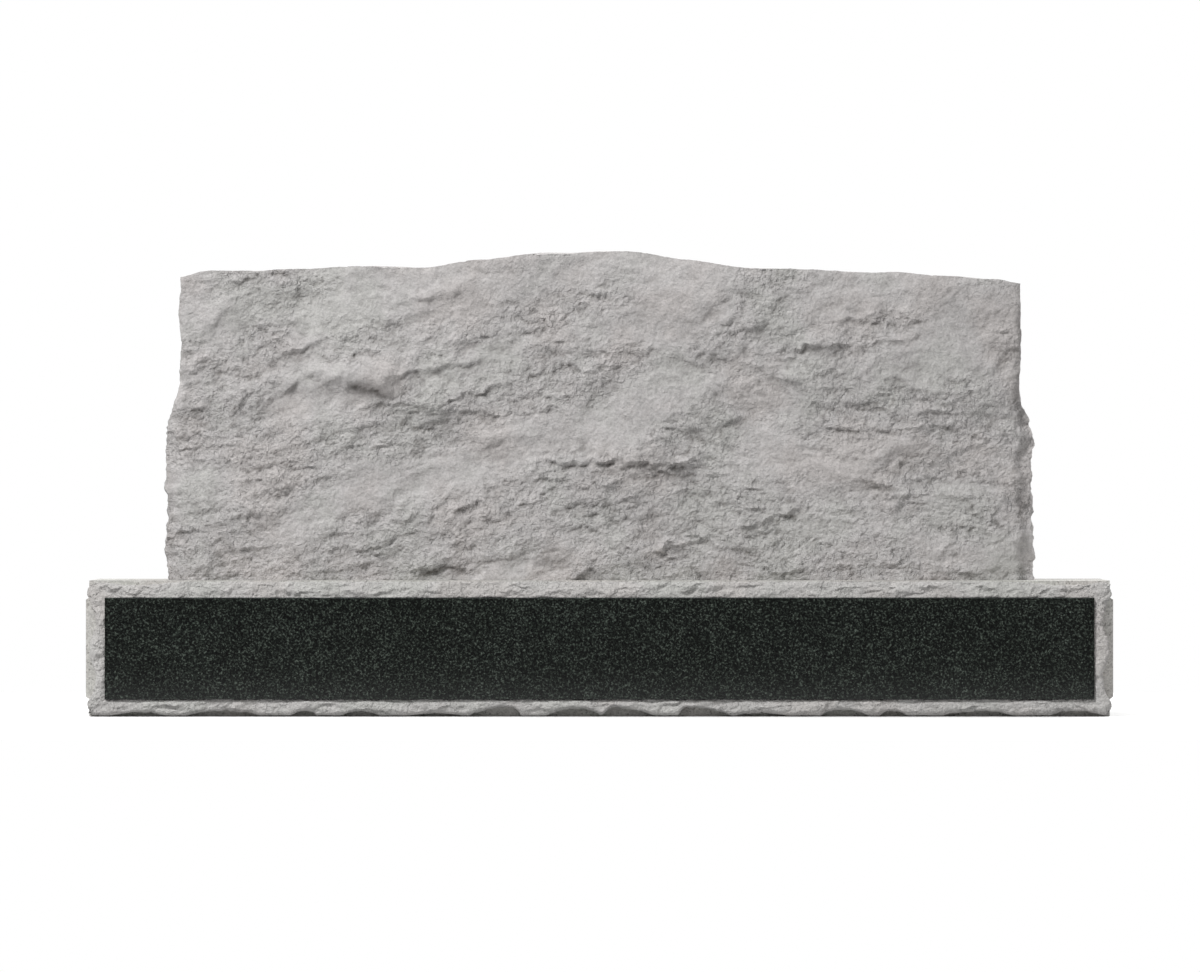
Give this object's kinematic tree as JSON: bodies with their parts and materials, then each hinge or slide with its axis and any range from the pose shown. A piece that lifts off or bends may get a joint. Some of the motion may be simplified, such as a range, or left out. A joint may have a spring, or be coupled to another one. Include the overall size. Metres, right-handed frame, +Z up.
{
  "type": "grave marker",
  "caption": "Wide rock-faced granite tablet with a gently humped top, standing on a long low base with a polished black name panel let into its front.",
  "frame": {"origin": "middle of the underside of the base, where it beds on its foundation", "axes": "+X along the length of the marker, to the right as one reads its front; the front looks towards -Y; +Z up"},
  "size_m": [1.524, 0.3552, 0.6926],
  "materials": {
    "rock_faced_grey_granite": "light grey granite, broken rough all round",
    "sawn_and_pitched_grey_granite": "light grey granite, sawn on the top, underside and ends, rock-pitched on the front margin and the back",
    "polished_black_granite": "black granite with fine light specks, polished"
  },
  "bodies": {
    "root": {"tablet": "rock_faced_grey_granite", "base": "sawn_and_pitched_grey_granite", "name_panel": "polished_black_granite"}
  },
  "joints": []
}
